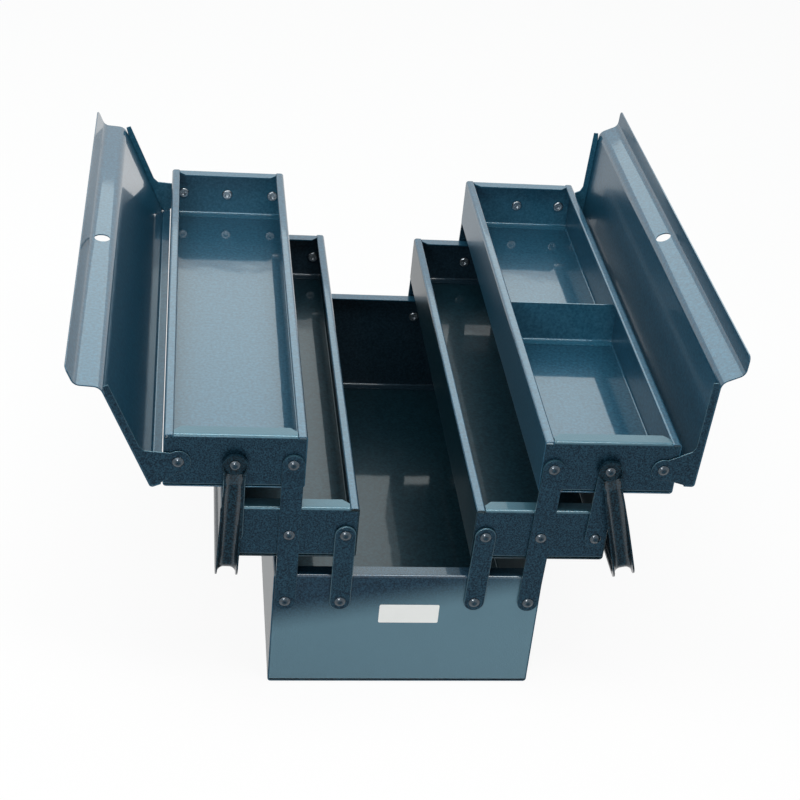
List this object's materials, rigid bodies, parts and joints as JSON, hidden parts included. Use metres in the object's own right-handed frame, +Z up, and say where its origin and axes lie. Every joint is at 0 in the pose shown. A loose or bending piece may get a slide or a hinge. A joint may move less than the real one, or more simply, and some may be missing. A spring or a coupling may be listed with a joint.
{
  "type": "cantilever tool box",
  "caption": "Folded sheet-steel cantilever tool box with stepped trays on linked arms, hinged roof lids and swing-up carrying handles.",
  "frame": {"origin": "centre of the underside of the base, on the floor", "axes": "+Z up, +Y along the box to its rear end, +X across it to the side of the tray with the divider"},
  "size_m": [0.4679, 0.4534, 0.2974],
  "materials": {
    "painted_steel": "gloss",
    "fastener_steel": "gloss"
  },
  "bodies": {
    "base": {"base_shell": "painted_steel", "base_front_end": "painted_steel", "base_rear_end": "painted_steel", "base_rivets": "fastener_steel"},
    "left_long_arms": {"left_long_arm_front": "painted_steel", "left_long_arm_rear": "painted_steel"},
    "left_lower_tray": {"left_lower_tray_shell": "painted_steel", "left_lower_tray_front_end": "painted_steel", "left_lower_tray_rear_end": "painted_steel", "left_lower_tray_rivets": "fastener_steel"},
    "left_upper_tray": {"left_upper_tray_shell": "painted_steel", "left_upper_tray_front_end": "painted_steel", "left_upper_tray_rear_end": "painted_steel", "left_upper_tray_rivets": "fastener_steel", "left_handle_rivets": "fastener_steel"},
    "left_inner_arms": {"left_inner_arm_front": "painted_steel", "left_inner_arm_rear": "painted_steel"},
    "left_short_arms": {"left_short_arm_front": "painted_steel", "left_short_arm_rear": "painted_steel"},
    "left_lid": {"left_lid_roof": "painted_steel", "left_lid_front_ear": "painted_steel", "left_lid_rear_ear": "painted_steel"},
    "left_handle_bar": {"left_handle": "painted_steel"},
    "right_long_arms": {"right_long_arm_front": "painted_steel", "right_long_arm_rear": "painted_steel"},
    "right_lower_tray": {"right_lower_tray_shell": "painted_steel", "right_lower_tray_front_end": "painted_steel", "right_lower_tray_rear_end": "painted_steel", "right_lower_tray_rivets": "fastener_steel"},
    "right_upper_tray": {"right_upper_tray_shell": "painted_steel", "right_upper_tray_front_end": "painted_steel", "right_upper_tray_rear_end": "painted_steel", "right_upper_tray_rivets": "fastener_steel", "right_upper_tray_divider": "painted_steel", "right_handle_rivets": "fastener_steel"},
    "right_inner_arms": {"right_inner_arm_front": "painted_steel", "right_inner_arm_rear": "painted_steel"},
    "right_short_arms": {"right_short_arm_front": "painted_steel", "right_short_arm_rear": "painted_steel"},
    "right_lid": {"right_lid_roof": "painted_steel", "right_lid_front_ear": "painted_steel", "right_lid_rear_ear": "painted_steel"},
    "right_handle_bar": {"right_handle": "painted_steel"}
  },
  "joints": [
    {"name": "left_trays", "type": "hinge", "parent": "base", "child": "left_long_arms", "pos_m": [-0.091, 0, 0.0795], "axis": [0, 1, 0], "range_deg": [0, 42.29]},
    {"name": "left_lower_tray_level", "type": "hinge", "parent": "left_long_arms", "child": "left_lower_tray", "pos_m": [-0.091, 0, 0.14006], "axis": [0, 1, 0], "range_deg": [-42.29, 0]},
    {"name": "left_upper_tray_level", "type": "hinge", "parent": "left_long_arms", "child": "left_upper_tray", "pos_m": [-0.091, 0, 0.20062], "axis": [0, 1, 0], "range_deg": [-42.29, 0]},
    {"name": "left_inner_arms_swing", "type": "hinge", "parent": "base", "child": "left_inner_arms", "pos_m": [-0.05025, 0, 0.0795], "axis": [0, 1, 0], "range_deg": [0, 42.29]},
    {"name": "left_short_arms_swing", "type": "hinge", "parent": "left_lower_tray", "child": "left_short_arms", "pos_m": [-0.13175, 0, 0.14006], "axis": [0, 1, 0], "range_deg": [0, 42.29]},
    {"name": "left_handle_lift", "type": "hinge", "parent": "left_short_arms", "child": "left_handle_bar", "pos_m": [-0.13175, 0, 0.20062], "axis": [0, 1, 0], "range_deg": [0, 161.21]},
    {"name": "left_lid_swing", "type": "hinge", "parent": "left_upper_tray", "child": "left_lid", "pos_m": [-0.171, 0, 0.20112], "axis": [0, 1, 0], "range_deg": [0, 102]},
    {"name": "right_trays", "type": "hinge", "parent": "base", "child": "right_long_arms", "pos_m": [0.091, 0, 0.0795], "axis": [0, -1, 0], "range_deg": [0, 43.99]},
    {"name": "right_lower_tray_level", "type": "hinge", "parent": "right_long_arms", "child": "right_lower_tray", "pos_m": [0.0928, 0, 0.14003], "axis": [0, -1, 0], "range_deg": [-43.99, 0]},
    {"name": "right_upper_tray_level", "type": "hinge", "parent": "right_long_arms", "child": "right_upper_tray", "pos_m": [0.09459, 0, 0.20057], "axis": [0, -1, 0], "range_deg": [-43.99, 0]},
    {"name": "right_inner_arms_swing", "type": "hinge", "parent": "base", "child": "right_inner_arms", "pos_m": [0.05025, 0, 0.0795], "axis": [0, -1, 0], "range_deg": [0, 43.99]},
    {"name": "right_short_arms_swing", "type": "hinge", "parent": "right_lower_tray", "child": "right_short_arms", "pos_m": [0.13355, 0, 0.14003], "axis": [0, -1, 0], "range_deg": [0, 43.99]},
    {"name": "right_handle_lift", "type": "hinge", "parent": "right_short_arms", "child": "right_handle_bar", "pos_m": [0.13534, 0, 0.20057], "axis": [0, -1, 0], "range_deg": [0, 147.01]},
    {"name": "right_lid_swing", "type": "hinge", "parent": "right_upper_tray", "child": "right_lid", "pos_m": [0.17459, 0, 0.20107], "axis": [0, -1, 0], "range_deg": [0, 81.5]}
  ],
  "couplings": [
    {"joint": "left_lower_tray_level", "follows": "left_trays", "ratio": -1},
    {"joint": "left_upper_tray_level", "follows": "left_trays", "ratio": -1},
    {"joint": "left_inner_arms_swing", "follows": "left_trays", "ratio": 1},
    {"joint": "left_short_arms_swing", "follows": "left_trays", "ratio": 1},
    {"joint": "left_lid_swing", "follows": "left_handle_lift", "ratio": 0.63271},
    {"joint": "right_lower_tray_level", "follows": "right_trays", "ratio": -1},
    {"joint": "right_upper_tray_level", "follows": "right_trays", "ratio": -1},
    {"joint": "right_inner_arms_swing", "follows": "right_trays", "ratio": 1},
    {"joint": "right_short_arms_swing", "follows": "right_trays", "ratio": 1},
    {"joint": "right_lid_swing", "follows": "right_handle_lift", "ratio": 0.55438}
  ]
}
